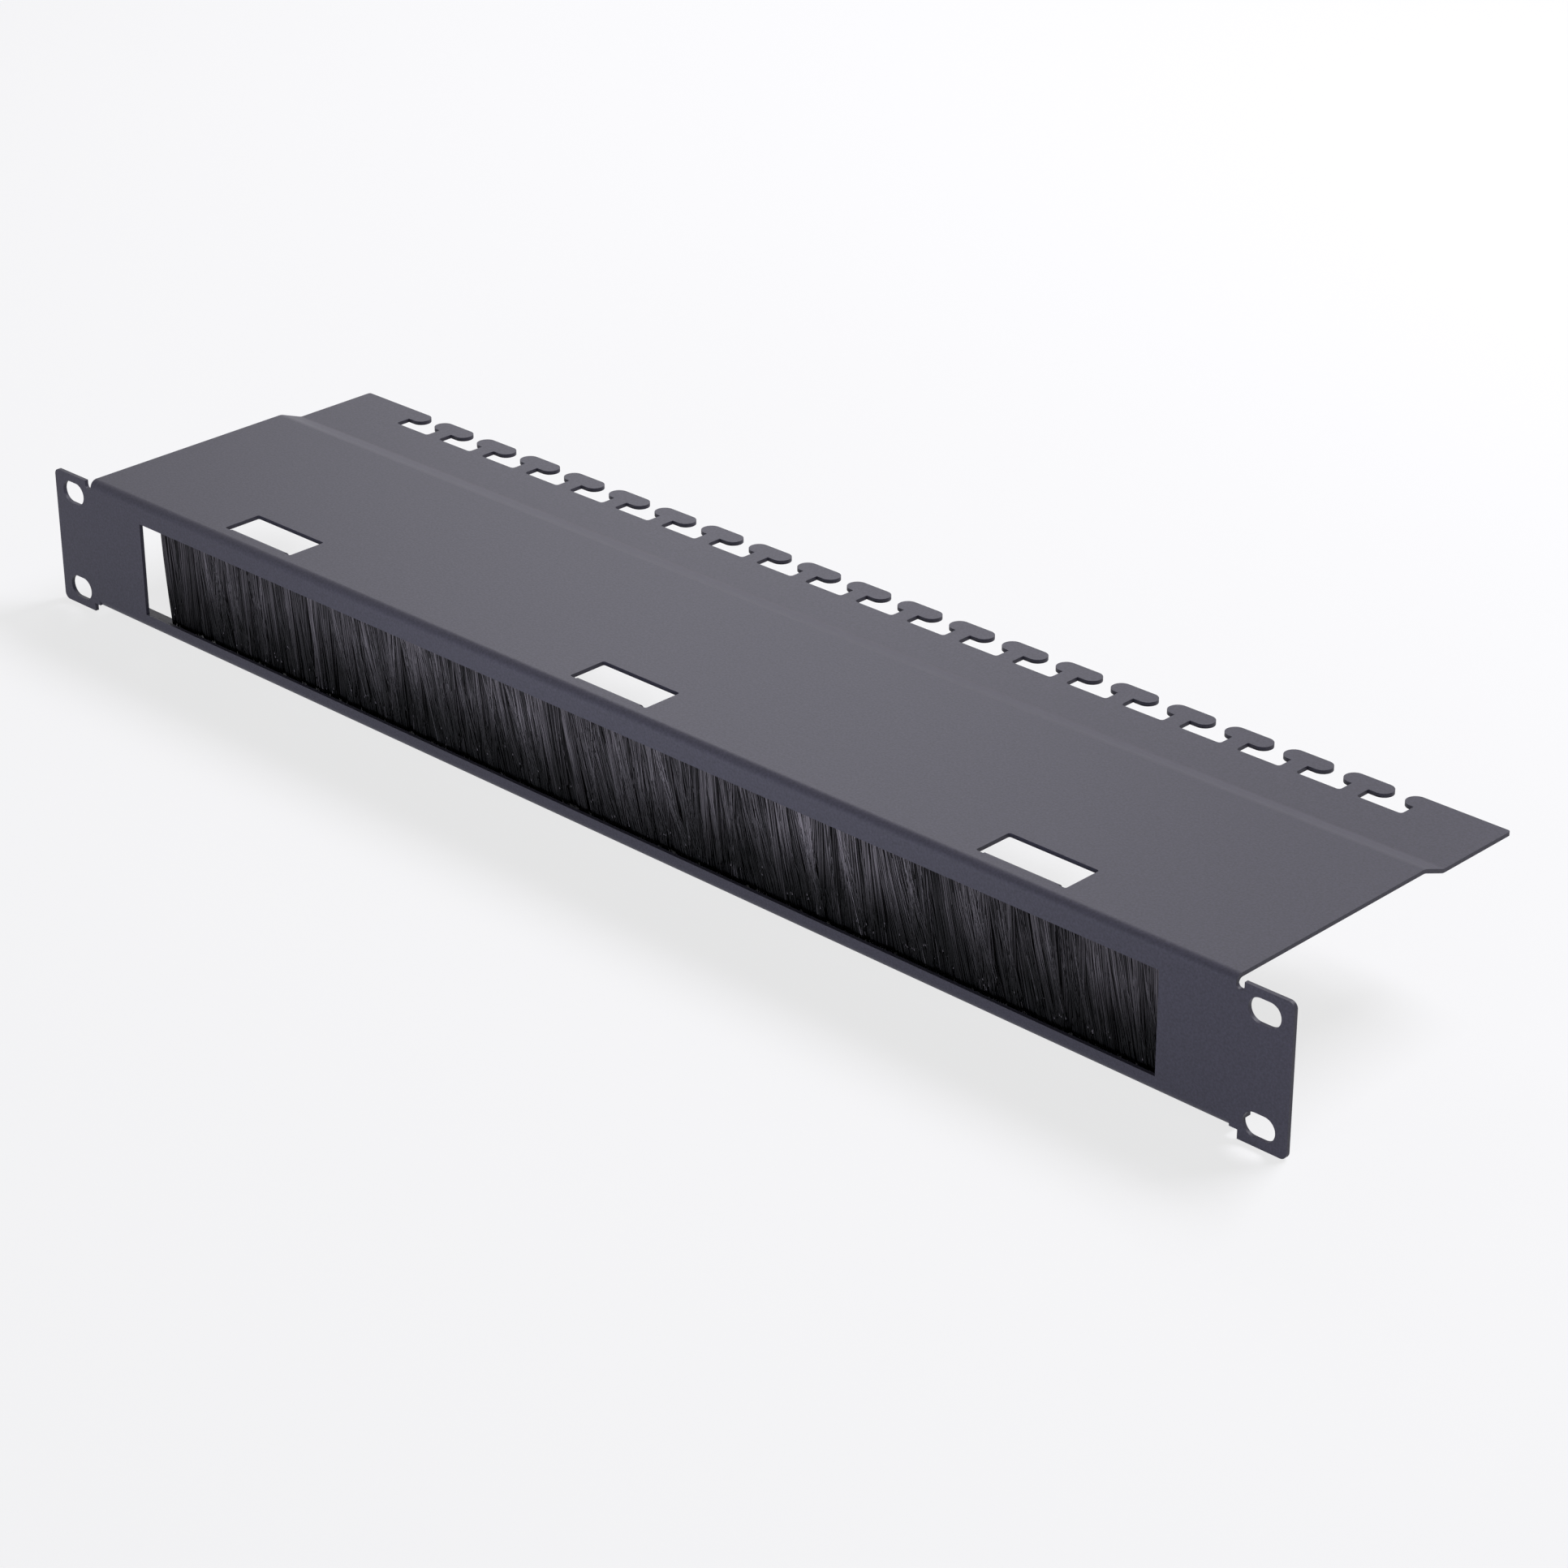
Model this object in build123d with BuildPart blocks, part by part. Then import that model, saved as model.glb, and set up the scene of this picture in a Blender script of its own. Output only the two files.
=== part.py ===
from build123d import *
from math import sin
import os

# A one-unit cable entry panel for a 19-inch rack. One steel sheet is folded
# into a front plate, a cable shelf and a short lower flange. A strip brush
# hangs behind the window, held by three tabs lanced out of the shelf.
# Millimetres. +X runs along the panel, +Y to the rear, +Z up. The origin is
# the centre of the rack-hole pattern, on the rear face of the ears.

# Sheet
sheet = 1.2
bend_radius = 2.5

# Front plate and ears
panel_width = 482.6
ear_height = 43.7
ear_corner_radius = 2.0
body_width = 447.0
relief_width = 2.6
relief_depth = 2.6
flange_rise = 2.0
flange_depth = 8.5
notch_above_flange = 0.6

# Slotted rack holes
hole_spacing_x = 465.1
hole_spacing_z = 31.75
hole_length = 10.0
hole_height = 7.0

# Cable window
window_width = 400.0
window_height = 30.0

# Shelf, measured back from the front face
shelf_above_ears = 0.7
joggle_start = 75.5
joggle_run = 8.0
joggle_drop = 3.0
joggle_radius = 4.0
panel_depth = 112.5
rear_corner_radius = 0.8

# Tabs lanced out of the shelf, and the openings that they leave
tab_count = 3
tab_pitch = 150.0
tab_width = 25.0
tab_drop = 13.0
tab_bend_radius = 1.7
tab_front_gap = 4.8
lance_width = 30.0
lance_length = 13.0
lance_corner_radius = 0.6

# Lacing comb along the rear edge; its heads reach further to the right of the stems
lacing_slots = 20
lacing_pitch = 20.0
mouth_width = 4.6
head_shift = 0.65
head_depth = 6.2
stem_width = 5.4
pocket_depth = 5.3
pocket_corner_radius = 1.0

# Strip brush
strip_length = 400.0
strip_shift = 4.4
channel_height = 6.0
channel_wall = 0.5
channel_seat_gap = 0.1
channel_front_gap = 1.8
wire_diameter = 1.0
wire_cover = 0.3
bristle_tip_gap = 0.8
bristle_wall_gap = 0.05
tuft_count = 80
tuft_ridge = 0.3
tuft_gap_width = 0.9
tuft_gap_height = 7.0
tuft_gap_change = 3.0

# Screws that hold the brush to the tabs
screw_diameter = 2.9
screw_clearance = 0.1
thread_clearance = 0.05
screw_below_shelf = 4.1
screw_head_diameter = 5.6
screw_head_height = 2.0
screw_head_slope = 1.1
screw_head_edge = 0.8
screw_tip_gap = 0.1
cross_length = 3.2
cross_width = 0.7
cross_depth = 1.1

# Places worked out from the sizes above
front_face = -sheet
ear_top = ear_height / 2
ear_bottom = -ear_top
shelf_top = ear_top + shelf_above_ears
shelf_under = shelf_top - sheet
flange_bottom = ear_bottom + flange_rise
flange_top = flange_bottom + sheet
rear_edge = front_face + panel_depth
strip_top = shelf_top - joggle_drop
middle_radius = bend_radius - sheet / 2
front_middle = front_face + sheet / 2
flange_middle = flange_bottom + sheet / 2
shelf_middle = shelf_top - sheet / 2
strip_middle = strip_top - sheet / 2
tab_front = tab_front_gap
tab_rear = tab_front + sheet
tab_middle = tab_front + sheet / 2
tab_end = shelf_top - tab_drop
lance_front = tab_rear - tab_bend_radius
screw_height = shelf_under - screw_below_shelf
slot_bottom = ear_top - relief_depth
notch_top = flange_bottom + notch_above_flange
channel_front = channel_front_gap
channel_rear = tab_front
channel_depth = channel_rear - channel_front
channel_middle = (channel_front + channel_rear) / 2
channel_top = shelf_under - channel_seat_gap
channel_bottom = channel_top - channel_height
channel_inside = channel_depth - 2 * channel_wall
bristle_thickness = channel_inside - 2 * bristle_wall_gap
bristle_front = channel_middle - bristle_thickness / 2
bristle_rear = channel_middle + bristle_thickness / 2
curtain_top = channel_bottom - bristle_wall_gap
root_top = channel_top - channel_wall - bristle_wall_gap
tip_height = flange_top + bristle_tip_gap
wire_height = channel_top - channel_wall - wire_cover - wire_diameter / 2
first_tuft = strip_shift - strip_length / 2
tuft_pitch = strip_length / tuft_count
screw_tip = channel_front + screw_tip_gap


# Folded panel
pocket_width = lacing_pitch - stem_width
comb_front = rear_edge - head_depth - pocket_depth
comb_width = (lacing_slots - 1) * lacing_pitch + pocket_width
head_length = lacing_pitch - mouth_width
relief_middle = (body_width + relief_width) / 2

with BuildPart() as panel:
    # Flange, front plate, shelf, joggle and rear strip
    with BuildSketch(Plane.YZ):
        with BuildLine():
            FilletPolyline(
                (front_face + flange_depth, flange_middle),
                (front_middle, flange_middle),
                (front_middle, shelf_middle),
                (front_face + joggle_start, shelf_middle),
                (front_face + joggle_start + joggle_run, strip_middle),
                (rear_edge, strip_middle),
                radius=[middle_radius, middle_radius, joggle_radius, joggle_radius],
            )
        trace(line_width=sheet)
    extrude(amount=body_width / 2, both=True)
    fillet(panel.edges().filter_by(Axis.Z).group_by(Axis.Y)[-1],
           radius=rear_corner_radius)

    # Ears, joined to the body below the relief slots at the bends
    with BuildSketch(Plane.XZ) as ears:
        Rectangle(panel_width, ear_height)
        fillet(ears.vertices(), radius=ear_corner_radius)
        with Locations((0, slot_bottom + relief_width / 2)):
            Rectangle(body_width + 2 * relief_width, ear_height,
                      align=(Align.CENTER, Align.MIN), mode=Mode.SUBTRACT)
        with Locations((0, slot_bottom)):
            Rectangle(body_width, ear_height, align=(Align.CENTER, Align.MIN),
                      mode=Mode.SUBTRACT)
        with Locations((-relief_middle, slot_bottom + relief_width / 2),
                       (relief_middle, slot_bottom + relief_width / 2)):
            Circle(relief_width / 2, mode=Mode.SUBTRACT)
        with Locations((0, notch_top)):
            Rectangle(body_width + 2 * relief_width, ear_height,
                      align=(Align.CENTER, Align.MAX), mode=Mode.SUBTRACT)
        with Locations((0, notch_top)):
            Rectangle(body_width, bend_radius, align=(Align.CENTER, Align.MIN),
                      mode=Mode.SUBTRACT)
    extrude(amount=sheet)

    # Rack holes and cable window
    with BuildSketch(Plane.XZ):
        with GridLocations(hole_spacing_x, hole_spacing_z, 2, 2):
            SlotOverall(hole_length, hole_height)
        Rectangle(window_width, window_height)
    extrude(amount=sheet, mode=Mode.SUBTRACT)

    # Openings left in the shelf by the lanced tabs
    with BuildSketch(Plane.XY.offset(shelf_top)) as lances:
        with Locations((0, lance_front)):
            with GridLocations(tab_pitch, 0, tab_count, 1):
                Rectangle(lance_width, lance_length,
                          align=(Align.CENTER, Align.MIN))
        fillet(lances.vertices(), radius=lance_corner_radius)
    extrude(amount=-sheet, mode=Mode.SUBTRACT)

    # The tabs themselves, folded down behind the front plate
    for place in GridLocations(tab_pitch, 0, tab_count, 1):
        with BuildSketch(Plane.YZ.offset(place.position.X)):
            with BuildLine():
                FilletPolyline(
                    (lance_front - sheet, shelf_middle),
                    (tab_middle, shelf_middle),
                    (tab_middle, tab_end),
                    radius=tab_bend_radius - sheet / 2,
                )
            trace(line_width=sheet)
        extrude(amount=tab_width / 2, both=True)
    with BuildSketch(Plane.XZ.offset(-tab_rear)):
        with Locations((0, screw_height)):
            with GridLocations(tab_pitch, 0, tab_count, 1):
                Circle(screw_diameter / 2 + screw_clearance)
    extrude(amount=sheet, mode=Mode.SUBTRACT)

    # Lacing comb: a row of T-shaped fingers with a half finger at each end
    with BuildSketch(Plane.XY.offset(strip_top)) as comb:
        with Locations((0, comb_front)):
            Rectangle(comb_width, head_depth + pocket_depth,
                      align=(Align.CENTER, Align.MIN))
        with Locations((0, comb_front)):
            with GridLocations(lacing_pitch, 0, lacing_slots - 1, 1):
                Rectangle(stem_width, head_depth / 2 + pocket_depth,
                          align=(Align.CENTER, Align.MIN), mode=Mode.SUBTRACT)
        with Locations((head_shift, rear_edge - head_depth / 2)):
            with GridLocations(lacing_pitch, 0, lacing_slots + 1, 1):
                SlotOverall(head_length, head_depth, mode=Mode.SUBTRACT)
        fillet(comb.vertices().group_by(Axis.Y)[0], radius=pocket_corner_radius)
    extrude(amount=-sheet, mode=Mode.SUBTRACT)


# Brush channel: a folded strip, open below, between the front plate and the tabs
strip_section = Plane.YZ.offset(strip_shift)
with BuildPart() as brush_channel:
    with BuildSketch(strip_section):
        with Locations((channel_middle, channel_top)):
            Rectangle(channel_depth, channel_height, align=(Align.CENTER, Align.MAX))
        with Locations((channel_middle, channel_top - channel_wall)):
            Rectangle(channel_inside, channel_height, align=(Align.CENTER, Align.MAX),
                      mode=Mode.SUBTRACT)
    extrude(amount=strip_length / 2, both=True)
    top_edges = brush_channel.edges().filter_by(Axis.X).group_by(Axis.Z)[-1]
    fillet(top_edges, radius=channel_wall)
    with BuildSketch(Plane.XZ.offset(-channel_rear)):
        with Locations((0, screw_height)):
            with GridLocations(tab_pitch, 0, tab_count, 1):
                Circle(screw_diameter / 2 + thread_clearance)
    extrude(amount=channel_depth, mode=Mode.SUBTRACT)

# Core wire that the bristles are folded over, inside the channel
with BuildPart() as brush_core_wire:
    with BuildSketch(strip_section):
        with Locations((channel_middle, wire_height)):
            Circle(wire_diameter / 2)
    extrude(amount=strip_length / 2, both=True)

# Bristles: one curtain, with a ridge for each tuft and open gaps at the free end
with BuildPart() as bristles:
    with BuildSketch(Plane.XY.offset(tip_height)):
        with BuildLine():
            front = [(first_tuft, bristle_front)]
            rear = [(first_tuft, bristle_rear)]
            for tuft in range(tuft_count):
                crest = first_tuft + (tuft + 0.5) * tuft_pitch
                valley = first_tuft + (tuft + 1) * tuft_pitch
                front += [(crest, bristle_front - tuft_ridge), (valley, bristle_front)]
                rear += [(crest, bristle_rear + tuft_ridge), (valley, bristle_rear)]
            Polyline(*front, *reversed(rear), close=True)
        make_face()
    extrude(amount=curtain_top - tip_height)
    with BuildSketch(Plane.XZ):
        for gap in range(1, tuft_count):
            place = first_tuft + gap * tuft_pitch
            reach = tuft_gap_height + tuft_gap_change * sin(gap * gap)
            with BuildLine():
                Polyline((place - tuft_gap_width / 2, tip_height), (place, tip_height + reach),
                         (place + tuft_gap_width / 2, tip_height), close=True)
            make_face()
    extrude(amount=-channel_rear, mode=Mode.SUBTRACT)
    with BuildSketch(strip_section):
        with Locations((channel_middle, curtain_top)):
            Rectangle(bristle_thickness, root_top - curtain_top,
                      align=(Align.CENTER, Align.MIN))
        with Locations((channel_middle, wire_height)):
            Circle(wire_diameter / 2 + bristle_wall_gap, mode=Mode.SUBTRACT)
    extrude(amount=strip_length / 2, both=True)
    with BuildSketch(Plane.XZ.offset(-channel_rear)):
        with Locations((0, screw_height)):
            with GridLocations(tab_pitch, 0, tab_count, 1):
                Circle(screw_diameter / 2 + screw_clearance)
    extrude(amount=channel_depth, mode=Mode.SUBTRACT)

# Pan-head screws, driven from behind through the tabs into the channel
screws = []
for place in GridLocations(tab_pitch, 0, tab_count, 1):
    centre = (place.position.X, screw_height)
    with BuildPart() as screw:
        with BuildSketch(Plane.XZ.offset(-tab_rear)):
            with Locations(centre):
                Circle(screw_head_diameter / 2)
        extrude(amount=-screw_head_height)
        head_rim = screw.edges().filter_by(GeomType.CIRCLE).sort_by(Axis.Y)[-1]
        chamfer(head_rim, length=screw_head_height - screw_head_edge, length2=screw_head_slope,
                reference=screw.faces().filter_by(GeomType.CYLINDER)[0])
        with BuildSketch(Plane.XZ.offset(-tab_rear - screw_head_height)):
            with Locations(centre):
                Rectangle(cross_length, cross_width)
                Rectangle(cross_width, cross_length)
        extrude(amount=cross_depth, mode=Mode.SUBTRACT)
        with BuildSketch(Plane.XZ.offset(-tab_rear)):
            with Locations(centre):
                Circle(screw_diameter / 2)
        extrude(amount=tab_rear - screw_tip)
    screws.append(screw)

pieces = {
    "panel": panel,
    "brush_channel": brush_channel,
    "brush_core_wire": brush_core_wire,
    "bristles": bristles,
    "screw_left": screws[0],
    "screw_middle": screws[1],
    "screw_right": screws[2],
}
os.makedirs("parts", exist_ok=True)
for name, piece in pieces.items():
    piece.part.label = name
    export_step(piece.part, f"parts/{name}.step")
    print(name, round(piece.part.volume, 1), "cubic mm")
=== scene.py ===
# %% [markdown]
# # Rack cable entry panel
# A cable entry panel closes one unit of a 19-inch rack. Cables pass through a
# brush in the long window, lie on the shelf behind it, and are tied down to
# the comb along the shelf's rear edge. The folded sheet, the channel, the wire
# and the screws come from the CAD model. This scene gives them their finish,
# and makes the single bristles of the brush, which are too fine for solids.

import math

import bpy
import numpy as np
from mathutils import Matrix, Vector


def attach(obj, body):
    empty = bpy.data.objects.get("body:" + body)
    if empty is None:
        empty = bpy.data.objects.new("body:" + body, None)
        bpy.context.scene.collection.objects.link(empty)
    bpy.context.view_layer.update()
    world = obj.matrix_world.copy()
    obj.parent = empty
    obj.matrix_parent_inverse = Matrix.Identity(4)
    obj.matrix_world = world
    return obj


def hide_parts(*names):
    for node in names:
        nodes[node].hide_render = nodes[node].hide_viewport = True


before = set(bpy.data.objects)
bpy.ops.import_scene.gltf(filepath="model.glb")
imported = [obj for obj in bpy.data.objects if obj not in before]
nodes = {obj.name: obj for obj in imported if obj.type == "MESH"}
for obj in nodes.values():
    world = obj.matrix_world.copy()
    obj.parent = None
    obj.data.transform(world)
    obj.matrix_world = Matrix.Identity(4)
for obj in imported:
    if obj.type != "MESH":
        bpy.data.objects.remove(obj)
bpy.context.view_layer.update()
MM = 0.001
print("CAD nodes:", ", ".join(sorted(nodes)))

# %% [markdown]
# ## Camera
# The photograph was taken from the right, a little above the shelf. The
# viewpoint was worked out from the rack holes, whose spacing is a standard, so
# the picture has the same slight perspective: the far ear looks smaller. A
# camera could be aimed with a constraint too, but three turned directions put
# down in one matrix leave nothing to be worked out again later.

# %% Camera
CAMERA_PLACE = Vector((753.81, -698.92, 511.06)) * MM
CAMERA_TURN = math.radians(44.31)
CAMERA_DOWN = math.radians(26.66)
CAMERA_ROLL = math.radians(-0.265)
CAMERA_LENS = 95.71
CAMERA_SENSOR = 36.0
CAMERA_NEAR, CAMERA_FAR = 0.01, 50.0

scene = bpy.context.scene
ahead = Vector((-math.sin(CAMERA_TURN) * math.cos(CAMERA_DOWN),
                math.cos(CAMERA_TURN) * math.cos(CAMERA_DOWN),
                -math.sin(CAMERA_DOWN)))
level = Vector((math.cos(CAMERA_TURN), math.sin(CAMERA_TURN), 0.0))
upward = level.cross(ahead)
right = level * math.cos(CAMERA_ROLL) + upward * math.sin(CAMERA_ROLL)
top = upward * math.cos(CAMERA_ROLL) - level * math.sin(CAMERA_ROLL)
turned = Matrix((right, top, -ahead)).transposed().to_4x4()
camera = bpy.data.objects.new("camera", bpy.data.cameras.new("camera"))
camera.matrix_world = Matrix.Translation(CAMERA_PLACE) @ turned
camera.data.lens = CAMERA_LENS
camera.data.sensor_width = CAMERA_SENSOR
camera.data.clip_start = CAMERA_NEAR
camera.data.clip_end = CAMERA_FAR
scene.collection.objects.link(camera)
scene.camera = camera
scene.view_settings.view_transform = "Standard"
print("camera lens", CAMERA_LENS, "mm")


# %% [markdown]
# ## Building a finish
# A finish in Blender is a small net of nodes. It can be drawn by hand in the
# shader editor. Here three short helpers make a net, add a node to it with its
# values, and join two nodes, so that each finish below reads as a short list.
# A fourth one serves the floor and the surroundings. It lets the camera, mirror
# and glass rays meet a white shader, and all other light a plain one. So the
# background is white, and yet it sends no light of its own onto the panel.

# %% Helpers for finishes
def new_material(name):
    material = bpy.data.materials.new(name)
    material.use_nodes = True
    material.node_tree.nodes.clear()
    return material


def add(owner, kind, **inputs):
    node = owner.node_tree.nodes.new(kind)
    for key, value in inputs.items():
        node.inputs[key.replace("_", " ")].default_value = value
    return node


def join(owner, source, target):
    owner.node_tree.links.new(source, target)


def show_white(owner, plain, white, out):
    rays = add(owner, "ShaderNodeLightPath")
    seen = rays.outputs["Is Camera Ray"]
    for kind in ("Is Transmission Ray", "Is Glossy Ray"):
        either = add(owner, "ShaderNodeMath")
        either.operation = "MAXIMUM"
        join(owner, seen, either.inputs[0])
        join(owner, rays.outputs[kind], either.inputs[1])
        seen = either.outputs[0]
    choice = add(owner, "ShaderNodeMixShader")
    join(owner, seen, choice.inputs["Fac"])
    join(owner, plain.outputs[0], choice.inputs[1])
    join(owner, white.outputs[0], choice.inputs[2])
    join(owner, choice.outputs[0], out.inputs["Surface"])


print("helpers for finishes ready")

# %% [markdown]
# ## Floor
# The panel stands on the lower edges of its ears, on a white floor. A floor lit
# only by lamps would look grey, and a glowing one would lose the shadow. So
# what is seen of it is mostly glow, with a share of lit paper that keeps the
# panel's soft shadow. It lies a hair below the ears, so that no faces coincide.

# %% Floor
FLOOR_HEIGHT = -21.87 * MM
FLOOR_SIZE = 12.0
FLOOR_GLOW = 1.08
FLOOR_SHADE_SHARE = 0.3
PAPER = (0.8, 0.8, 0.8, 1)
WHITE = (1, 1, 1, 1)

bpy.ops.mesh.primitive_plane_add(size=FLOOR_SIZE, location=(0, 0, FLOOR_HEIGHT))
floor = bpy.context.object
floor.name = "floor"
paper = new_material("white_floor")
lit = add(paper, "ShaderNodeBsdfDiffuse", Color=PAPER)
glow = add(paper, "ShaderNodeEmission", Color=WHITE, Strength=FLOOR_GLOW)
mostly_glow = add(paper, "ShaderNodeMixShader", Fac=FLOOR_SHADE_SHARE)
join(paper, glow.outputs[0], mostly_glow.inputs[1])
join(paper, lit.outputs[0], mostly_glow.inputs[2])
show_white(paper, lit, mostly_glow, add(paper, "ShaderNodeOutputMaterial"))
floor.data.materials.append(paper)
print("floor of", FLOOR_SIZE, "m")

# %% [markdown]
# ## Surroundings
# Past the edge of the floor the camera sees the surroundings. They are white to
# it, as in a photographer's studio, and give off only a trace of cool light.
# A picture of a real studio could stand there, but plain white keeps the
# reflections on the matt sheet even.

# %% Surroundings
COOL = (0.97, 0.96, 1.05)
SKY_TRACE = 0.02

world = bpy.data.worlds.new("studio")
world.use_nodes = True
trace = world.node_tree.nodes["Background"]
trace.inputs["Color"].default_value = COOL + (1,)
trace.inputs["Strength"].default_value = SKY_TRACE
plain_white = add(world, "ShaderNodeBackground", Color=WHITE, Strength=1.0)
show_white(world, trace, plain_white, world.node_tree.nodes["World Output"])
scene.world = world
print("white surroundings ready")

# %% [markdown]
# ## Lamps
# The main light comes from behind, from a large soft lamp high up and a small
# one on the left. They light the shelf and leave the bend in front of it
# darker. A low lamp far in front and a white card lying before the panel
# lighten the front plate and the upper part of the brush. All of them are area
# lamps, because a wide source gives soft light, and a point would give hard
# shadows. The card is a lamp as well, hidden from the camera.


# %% Lamps
def lamp(name, place, aim, width, depth, watts, colour):
    light = bpy.data.lights.new(name, "AREA")
    light.shape = "RECTANGLE"
    light.size = width
    light.size_y = depth
    light.energy = watts
    light.color = colour
    holder = bpy.data.objects.new(name, light)
    holder.location = place
    holder.rotation_euler = (Vector(aim) - Vector(place)).to_track_quat("-Z", "Y").to_euler()
    scene.collection.objects.link(holder)
    return holder


BLUISH = (0.92, 0.97, 1.12)
CARD_PLACE = (-0.03, -0.12, -0.0212)
ABOVE_CARD = (-0.03, -0.12, 1)

lamp("back_left_lamp", (-0.75, 0.8, 0.62), (-0.05, 0.05, 0), 0.5, 0.4, 2.0, COOL)
lamp("back_lamp", (0.32, 1.0, 1.18), (0, 0, 0), 1.0, 0.5, 21.0, COOL)
lamp("front_lamp", (0.5, -2.2, 0.25), (0, 0, 0), 2.0, 0.4, 31.0, BLUISH)
card = lamp("front_card", CARD_PLACE, ABOVE_CARD, 0.3, 0.1, 0.15, BLUISH)
card.visible_camera = False
print("three lamps and a card ready")

# %% [markdown]
# ## Powder coat
# The steel is powder coated: a dry charged powder is melted to a thin matt
# skin. Seen close up the skin has a very fine grain, finer than half a
# millimetre, and it is slightly bluish. The grain could be modelled as real
# bumps, but it is far finer than the sheet's mesh. So it is a small bump in the
# finish with a faint change of tone, worked out from the place on the sheet.

# %% Powder-coated panel
COAT_COLOUR = (0.0375, 0.035, 0.051)
COAT_ROUGHNESS = 0.5
COAT_GLOSS = 0.3
COAT_DARKEST, COAT_LIGHTEST = 0.78, 1.3
GRAIN_FROM, GRAIN_TO = 0.3, 0.72
GRAIN_SCALE = 1500.0
GRAIN_DETAIL, GRAIN_ROUGHNESS = 2.0, 0.6
GRAIN_STRENGTH, GRAIN_DEPTH = 0.5, 0.00004


def scaled(colour, factor):
    return tuple(factor * c for c in colour) + (1,)


def powder_coat():
    coat = new_material("powder_coat")
    place = add(coat, "ShaderNodeTexCoord")
    grain = add(coat, "ShaderNodeTexNoise", Scale=GRAIN_SCALE, Detail=GRAIN_DETAIL,
                Roughness=GRAIN_ROUGHNESS)
    join(coat, place.outputs["Object"], grain.inputs["Vector"])
    tone = add(coat, "ShaderNodeValToRGB")
    low, high = tone.color_ramp.elements
    low.position, high.position = GRAIN_FROM, GRAIN_TO
    low.color = scaled(COAT_COLOUR, COAT_DARKEST)
    high.color = scaled(COAT_COLOUR, COAT_LIGHTEST)
    join(coat, grain.outputs["Fac"], tone.inputs["Fac"])
    bump = add(coat, "ShaderNodeBump", Strength=GRAIN_STRENGTH, Distance=GRAIN_DEPTH)
    join(coat, grain.outputs["Fac"], bump.inputs["Height"])
    skin = add(coat, "ShaderNodeBsdfPrincipled", Roughness=COAT_ROUGHNESS,
               Specular_IOR_Level=COAT_GLOSS)
    join(coat, tone.outputs["Color"], skin.inputs["Base Color"])
    join(coat, bump.outputs["Normal"], skin.inputs["Normal"])
    out = add(coat, "ShaderNodeOutputMaterial")
    join(coat, skin.outputs[0], out.inputs["Surface"])
    return coat


def dress(name, material):
    mesh = nodes[name].data
    mesh.materials.clear()
    mesh.materials.append(material)


dress("panel", powder_coat())
print("panel coated")

# %% [markdown]
# ## Hidden metal
# The brush is clamped in a galvanised channel and screwed to three tabs under
# the shelf. These show only from behind and below, so plain metal finishes do:
# a dull zinc grey for the channel, and smoother ones for the wire and screws.


# %% Channel, core wire and screws
def metal(name, colour, roughness):
    made = new_material(name)
    skin = add(made, "ShaderNodeBsdfPrincipled", Base_Color=colour, Metallic=1.0,
               Roughness=roughness)
    out = add(made, "ShaderNodeOutputMaterial")
    join(made, skin.outputs[0], out.inputs["Surface"])
    return made


dress("brush_channel", metal("channel_metal", (0.42, 0.42, 0.43, 1), 0.42))
dress("brush_core_wire", metal("core_wire", (0.5, 0.5, 0.5, 1), 0.35))
zinc = metal("screw_steel", (0.55, 0.55, 0.56, 1), 0.3)
for side in ("left", "middle", "right"):
    dress("screw_" + side, zinc)
print("channel, wire and screws finished")

# %% [markdown]
# ## Brush: the room for it
# The brush is made by folding thousands of black nylon bristles over the core
# wire and closing the channel on them. Each bristle here is a thin rod from the
# channel down to the lower flange. Hair curves could be used too, but rods are
# plain meshes, which any other program can read. First come the measures that
# the CAD model sets, in millimetres: the strip's ends, the curtain's front and
# rear, the channel, the wire and the screws that the rods keep clear of.

# %% Room for the brush
STRIP_LEFT, STRIP_RIGHT = -195.6, 204.4
CURTAIN_FRONT, CURTAIN_REAR = 2.1, 4.4
CHANNEL_FRONT, CHANNEL_REAR = 2.45, 4.15
STRIP_MIDDLE = 3.3
MOUTH_HEIGHT = 15.2
ROOT_TOP = 20.6
WIRE_HEIGHT, WIRE_ROOM = 19.95, 0.75
SCREW_PLACES, SCREW_ROOM, SCREW_BOTTOM = (-150.0, 0.0, 150.0), 1.9, 15.6
TIP_HEIGHT = -17.5
print("brush", STRIP_RIGHT - STRIP_LEFT, "mm long")

# %% [markdown]
# ## Brush: roots and locks
# The bristles stand in three layers, and each layer parts into small locks.
# The rear layer is set at even steps in one plane, because it has to close the
# curtain: no light may shine through. The two layers before it are scattered at
# random, which looks like the real brush. Each lock gets its own lean, tone and
# length. All random numbers come from one seeded source, so that every run
# gives the same brush.

# %% Roots and locks
SEED = 7
BRISTLES_PER_MM = 34
LAYERS = 3
REAR_DEPTH = 0.85
END_ROOM = 0.2
LOCK_WIDTH = 2.3
LOCK_EDGE_SPREAD = 0.35
LOCK_LEAN_SPREAD = 2.3

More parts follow.
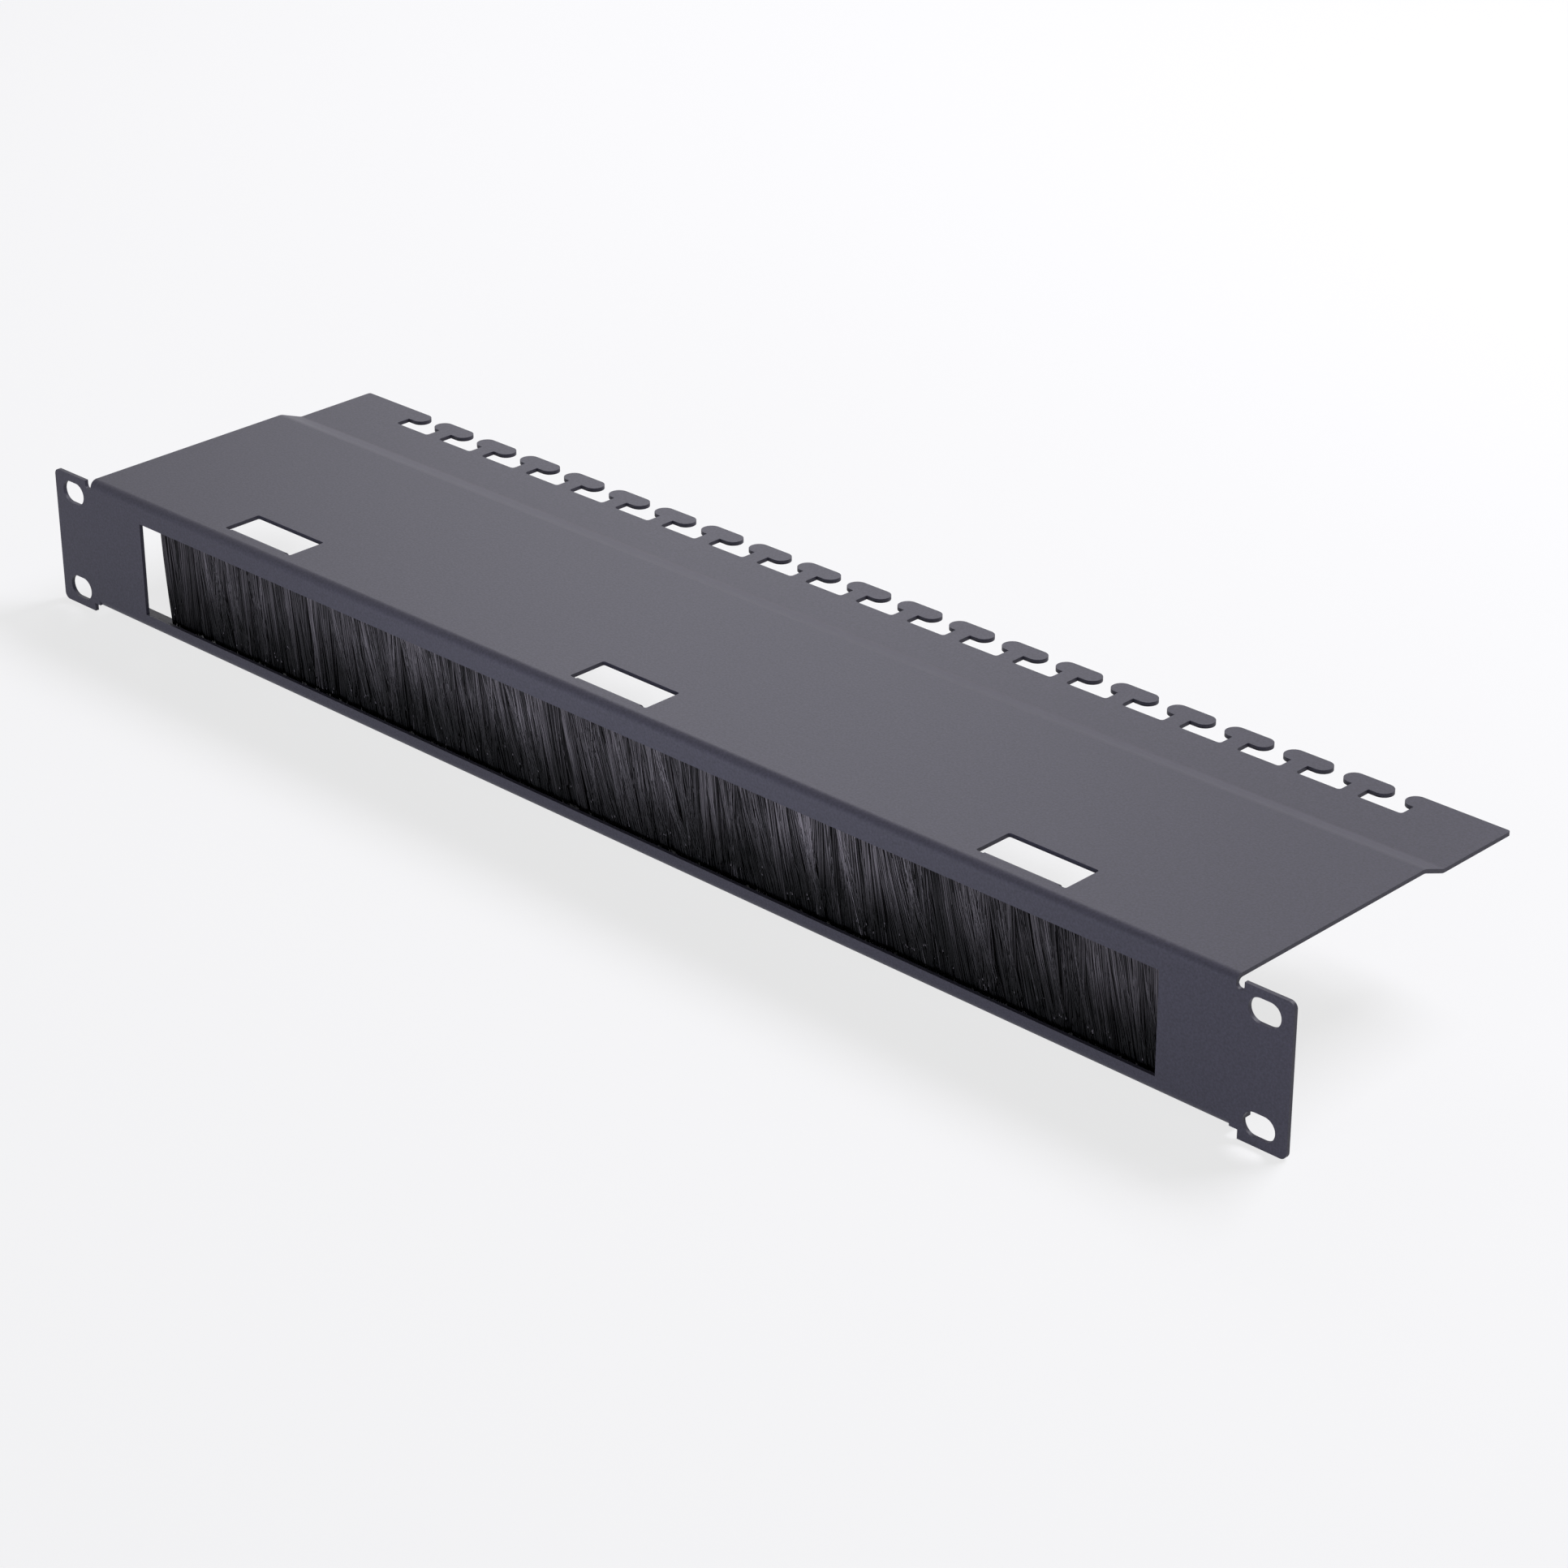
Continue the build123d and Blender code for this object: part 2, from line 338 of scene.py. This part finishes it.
draw = np.random.default_rng(SEED)
count = int((STRIP_RIGHT - STRIP_LEFT) * BRISTLES_PER_MM)
root_x = draw.uniform(STRIP_LEFT + END_ROOM, STRIP_RIGHT - END_ROOM, count)
depth = draw.uniform(0.0, 1.0, count)
layer = np.floor(depth * LAYERS).astype(int)
front = layer == 0
rear = layer == LAYERS - 1
loose = np.where(rear, 0.0, 1.0)
depth[rear] = REAR_DEPTH
root_x[rear] = np.linspace(STRIP_LEFT + END_ROOM, STRIP_RIGHT - END_ROOM, rear.sum())
edge = draw.normal(0, LOCK_EDGE_SPREAD, count)
lock = np.floor((root_x - STRIP_LEFT + edge) / LOCK_WIDTH + layer / LAYERS)
lock = np.clip(lock, 0, None).astype(int)
lock_x = STRIP_LEFT + (lock + 0.5 - layer / LAYERS) * LOCK_WIDTH
lock_shape = (LAYERS, lock.max() + 1)
lock_lean = draw.normal(0.0, LOCK_LEAN_SPREAD, lock_shape)[layer, lock] * loose
lock_tone = draw.normal(0.0, 1.0, lock_shape)[layer, lock]
lock_end = draw.normal(0.0, 1.0, lock_shape)[layer, lock]
print(count, "bristles in", lock_shape[1], "locks a layer")


# %% [markdown]
# ## Brush: how the bristles lean
# In the photograph the bristles lean to the right on their way down, by an
# amount that changes along the strip. The lean is read at ten places and
# filled in between, with a slow random change on top. Every lock then leans a
# little more or less, so that locks cross and leave dark partings. Within a
# lock the bristles draw together, and a few stray. A brush that only followed
# the ten places would look combed.

# %% Leans
LEAN_PLACES = (-196.0, -180.0, -130.0, -60.0, 0.0, 12.0, 60.0, 120.0, 170.0, 204.0)
LEANS = (3.0, 2.6, 3.8, 6.5, 8.5, 5.5, 7.0, 6.0, 6.5, 4.0)
LEAN_WAVE, LEAN_WAVE_SIZE = 14.0, 0.8
TIP_DEPTH_SPREAD = 0.12
STRAY_SHARE, STRAY_LEAN, OWN_LEAN = 0.06, 3.0, 0.32
DRAW_TOGETHER, DRAW_LEAST = 0.4, 0.3
LEFT_CALM, LEFT_LEAST = 12.0, 0.15
RIGHT_CALM, RIGHT_PAST = 7.0, 2.0
BOW_SPREAD = 0.12


def smooth_noise(places, spacing, size):
    """A value that changes smoothly along the strip, with a knot every spacing millimetres."""
    knots = np.arange(STRIP_LEFT - spacing, STRIP_RIGHT + 3 * spacing, spacing)
    values = draw.normal(0.0, size, len(knots))
    share = (places - knots[0]) / spacing
    index = np.floor(share).astype(int)
    part = share - index
    part = part * part * (3 - 2 * part)
    return values[index] * (1 - part) + values[index + 1] * part


root_y = CHANNEL_FRONT + depth * (CHANNEL_REAR - CHANNEL_FRONT)
tip_y = CURTAIN_FRONT + depth * (CURTAIN_REAR - CURTAIN_FRONT)
tip_y += draw.normal(0, TIP_DEPTH_SPREAD, count) * loose
tip_y = np.clip(tip_y, CURTAIN_FRONT, CURTAIN_REAR)
lean = np.interp(root_x, LEAN_PLACES, LEANS) + smooth_noise(root_x, LEAN_WAVE, LEAN_WAVE_SIZE)
calm_left = np.clip((root_x - STRIP_LEFT) / LEFT_CALM, LEFT_LEAST, 1.0)
own_lean = draw.normal(0.0, 1.0, count)
own_lean *= np.where(draw.uniform(0, 1, count) < STRAY_SHARE, STRAY_LEAN, OWN_LEAN)
lean += calm_left * (lock_lean + own_lean * loose)
drawn = np.where(rear, 0.0, draw.uniform(DRAW_LEAST, 1.0, count))
lean += calm_left * DRAW_TOGETHER * (lock_x - root_x) * drawn
lean *= np.clip((STRIP_RIGHT + RIGHT_PAST - root_x) / RIGHT_CALM, 0.0, 1.0)
bow = draw.normal(0.0, BOW_SPREAD, count) * loose
print("mean lean", round(float(lean.mean()), 2), "mm")

# %% [markdown]
# ## Brush: how the bristles end
# The tips reach down to just above the lower flange. In the front layer many
# bristles are shorter, and each lock ends at its own height, as the trimmed
# edge of the real brush is a little ragged. At the top the bristles stop short
# of the wire and of the three screws.

# %% Ends
TIP_SPREAD = 0.5
SHORT_SHARE = 0.55
SHORT_BY, SHORT_LOCK_SPREAD, SHORT_SPREAD, SHORTEST = 3.0, 2.0, 3.0, 12.0

short = front & (draw.uniform(0, 1, count) < SHORT_SHARE)
tip_z = TIP_HEIGHT + np.abs(draw.normal(0.0, TIP_SPREAD, count))
cut = SHORT_BY + SHORT_LOCK_SPREAD * lock_end + draw.uniform(0, SHORT_SPREAD, count)
tip_z += np.where(short, cut, 0.0)
tip_z = np.clip(tip_z, TIP_HEIGHT, TIP_HEIGHT + SHORTEST)
top_z = np.full(count, ROOT_TOP)
near_wire = np.abs(root_y - STRIP_MIDDLE) < WIRE_ROOM
top_z[near_wire] = WIRE_HEIGHT - WIRE_ROOM
for place in SCREW_PLACES:
    top_z[np.abs(root_x - place) < SCREW_ROOM] = SCREW_BOTTOM
print(int(short.sum()), "bristles are cut shorter")

# %% [markdown]
# ## Brush: painted light and shade
# Black nylon looks grey where its sheen is turned to the light, and the brush is
# nearly black near the flange, where bristles shade each other. Rods this thin
# can't show that by shading alone, so each carries a tone with the light and
# shade painted in: its own share and its lock's share, a slow random change
# along the strip, painted light and shade along the strip, painted shade that
# darkens the rear layers, and painted shade that fades to black downwards.
# A few single bristles keep part of their painted sheen all the way, and some
# cut tips get a painted glint.

# %% Lightness
TONE, TONE_LOCK, TONE_SPREAD, TONE_LEAST = 0.27, 0.10, 0.17, 0.04
TONE_WAVE, TONE_WAVE_SIZE = 20.0, 0.05
# Painted shade: the rear layers are darker, where the layers before them shade them.
DEEPER_PAINTED_SHADE = 0.5
# Painted light and shade along the strip: both ends are painted darker, parts of the middle
# lighter.
PAINTED_LIGHT_PLACES = (-196, -171, -120, -70, 30, 90, 140, 204)
PAINTED_LIGHT_ALONG = (0.45, 0.82, 0.62, 1.12, 0.9, 1.3, 0.88, 0.58)
# Painted shade: below these heights the tone fades to black, where bristles shade each other near
# the flange.
PAINTED_FADE_PLACES = (-196, -120, 0, 90, 190)
PAINTED_SHADE_HEIGHTS = (-2.4, -1.8, -2.4, -1.6, -0.4)
FADE_WAVE, FADE_WAVE_SIZE, FADE_LOCK = 11.0, 1.6, 1.6
FADE_BELOW, FADE_RUN = 6.0, 13.0
# Single bristles keep at least this share of their painted sheen under the painted shade.
SINGLE_SHARE, SINGLE_LEAST = 0.04, 0.5
# Painted glints: this share of front bristles gets a fully light cut tip.
PAINTED_GLINT_SHARE = 0.12

painted_shade_height = np.interp(root_x, PAINTED_FADE_PLACES, PAINTED_SHADE_HEIGHTS)
painted_shade_height = painted_shade_height + smooth_noise(root_x, FADE_WAVE, FADE_WAVE_SIZE) + FADE_LOCK * lock_end
# Random tone per bristle and lock, around a level that paints the nylon's sheen grey.
tone = TONE + TONE_LOCK * lock_tone + draw.normal(0.0, TONE_SPREAD, count)
tone = tone + smooth_noise(root_x, TONE_WAVE, TONE_WAVE_SIZE)
# Painted shade darkens the deeper bristles.
tone = np.clip(tone, TONE_LEAST, 1.0) * (1.0 - DEEPER_PAINTED_SHADE * depth)
# Painted light and shade along the strip.
tone *= np.interp(root_x, PAINTED_LIGHT_PLACES, PAINTED_LIGHT_ALONG)
single = draw.uniform(0, 1, count) < SINGLE_SHARE
painted_glint_tip = (draw.uniform(0, 1, count) < PAINTED_GLINT_SHARE) & front
print("mean tone", round(float(tone.mean()), 3))

# %% [markdown]
# ## Brush: the line of each bristle
# Each bristle is a line of six points: its top in the channel, the channel's
# mouth, two points on the way, and two close together at the tip, so that a
# painted glint at the cut end stays short. It leans a little more towards the
# tip, and spreads to the front or rear soon after it leaves the channel.

# %% Lines
SHARES = (0.0, 0.33, 0.67, 0.975, 1.0)
RINGS = len(SHARES) + 1
LEAN_POWER, SPREAD_POWER = 1.12, 0.7

lines = np.zeros((count, RINGS, 3))
tones_with_painted_light = np.zeros((count, RINGS))
lines[:, 0] = np.stack([root_x, root_y, top_z], axis=1)
for ring, share in enumerate(SHARES, start=1):
    x = root_x + lean * share ** LEAN_POWER + bow * np.sin(math.pi * share)
    y = root_y + (tip_y - root_y) * share ** SPREAD_POWER
    z = MOUTH_HEIGHT + (tip_z - MOUTH_HEIGHT) * share
    lines[:, ring] = np.stack([x, y, z], axis=1)
    # Painted shade: the tone fades to black below the painted shade height; single bristles keep
    # part of their painted sheen.
    fade = np.clip((z - painted_shade_height + FADE_BELOW) / FADE_RUN, 0.0, 1.0)
    tones_with_painted_light[:, ring] = tone * np.where(single, np.maximum(fade, SINGLE_LEAST), fade)
tones_with_painted_light[:, 0] = tones_with_painted_light[:, 1]
# Painted glint: the chosen cut tips get the full light tone.
tones_with_painted_light[:, -1] = np.where(painted_glint_tip, 1.0, tones_with_painted_light[:, -1])
print("lines of", RINGS, "points")


# %% [markdown]
# ## Brush: from lines to rods
# A three-sided rod is the lightest closed shape for something this thin. Its
# corners go round each point of the line, walls join the rings, and a triangle
# closes each end. All rods of a stretch make one mesh, because thousands of
# separate objects would be slow. The tone, with its painted sheen, shade and
# glints, is stored at the points.

# %% Rods
SIDES = 3
BRISTLE_RADIUS = 0.13


def rods(name, lines, tones_with_painted_light, material):
    around = np.arange(SIDES) * 2 * math.pi / SIDES + math.pi / 2
    corners = np.stack([np.cos(around), -np.sin(around), np.zeros(SIDES)], axis=1)
    points = lines[:, :, None, :] + BRISTLE_RADIUS * corners[None, None, :, :]
    points = points.reshape(-1, 3) * MM
    first = (np.arange(len(lines)) * RINGS * SIDES)[:, None]
    start = first[:, :, None]
    ring = (np.arange(RINGS - 1) * SIDES)[None, :, None]
    side = np.arange(SIDES)[None, None, :]
    a, b = start + ring + side, start + ring + (side + 1) % SIDES
    walls = np.stack([a, a + SIDES, b + SIDES, b], axis=-1).reshape(-1, 4)
    ends = first + (RINGS - 1) * SIDES + np.array([[0, 2, 1]])
    tops = first + np.array([[0, 1, 2]])
    faces = [tuple(face) for part in (walls, ends, tops) for face in part.tolist()]
    mesh = bpy.data.meshes.new(name)
    mesh.from_pydata(points.tolist(), [], faces)
    lightness = mesh.attributes.new("tone", "FLOAT", "POINT")
    lightness.data.foreach_set("value", np.repeat(tones_with_painted_light.reshape(-1), SIDES).astype(np.float32))
    mesh.update()
    mesh.shade_smooth()
    mesh.materials.append(material)
    piece = bpy.data.objects.new(name, mesh)
    scene.collection.objects.link(piece)
    return piece


print("rods of", SIDES, "sides,", 2 * BRISTLE_RADIUS, "mm thick")


# %% [markdown]
# ## Brush: nylon
# Nylon is smooth but not glossy. Its colour runs from nearly black to a warm
# grey, and the tone stored at the rods' points says where between the two.
# Besides a random tone, that tone carries painted sheen, painted shade and
# painted glints.

# %% Nylon
NYLON_DARKEST = (0.004, 0.004, 0.0045, 1)
# The warm grey end is used for painted sheen and painted glints.
NYLON_LIGHTEST = (0.345, 0.312, 0.332, 1)
NYLON_ROUGHNESS, NYLON_GLOSS = 0.45, 0.14


def nylon():
    made = new_material("bristle_black")
    stored = add(made, "ShaderNodeAttribute")
    stored.attribute_name = "tone"
    colour = add(made, "ShaderNodeValToRGB")
    low, high = colour.color_ramp.elements
    low.color, high.color = NYLON_DARKEST, NYLON_LIGHTEST
    join(made, stored.outputs["Fac"], colour.inputs["Fac"])
    skin = add(made, "ShaderNodeBsdfPrincipled", Roughness=NYLON_ROUGHNESS,
               Specular_IOR_Level=NYLON_GLOSS)
    join(made, colour.outputs["Color"], skin.inputs["Base Color"])
    out = add(made, "ShaderNodeOutputMaterial")
    join(made, skin.outputs[0], out.inputs["Surface"])
    return made


black = nylon()
print("nylon ready")

# %% [markdown]
# ## Brush: five stretches
# The rods are sorted from left to right and made in five stretches, so that no
# mesh gets too heavy. Together they take the place of the CAD model's curtain.

# %% Bristles
STRETCHES = 5

order = np.argsort(lines[:, 0, 0], kind="stable")
for number, chosen in enumerate(np.array_split(order, STRETCHES), start=1):
    stretch = rods("bristles_%d" % number, lines[chosen], tones_with_painted_light[chosen], black)
    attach(stretch, "root")
    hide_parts("bristles")
print(count, "bristles in", STRETCHES, "stretches")
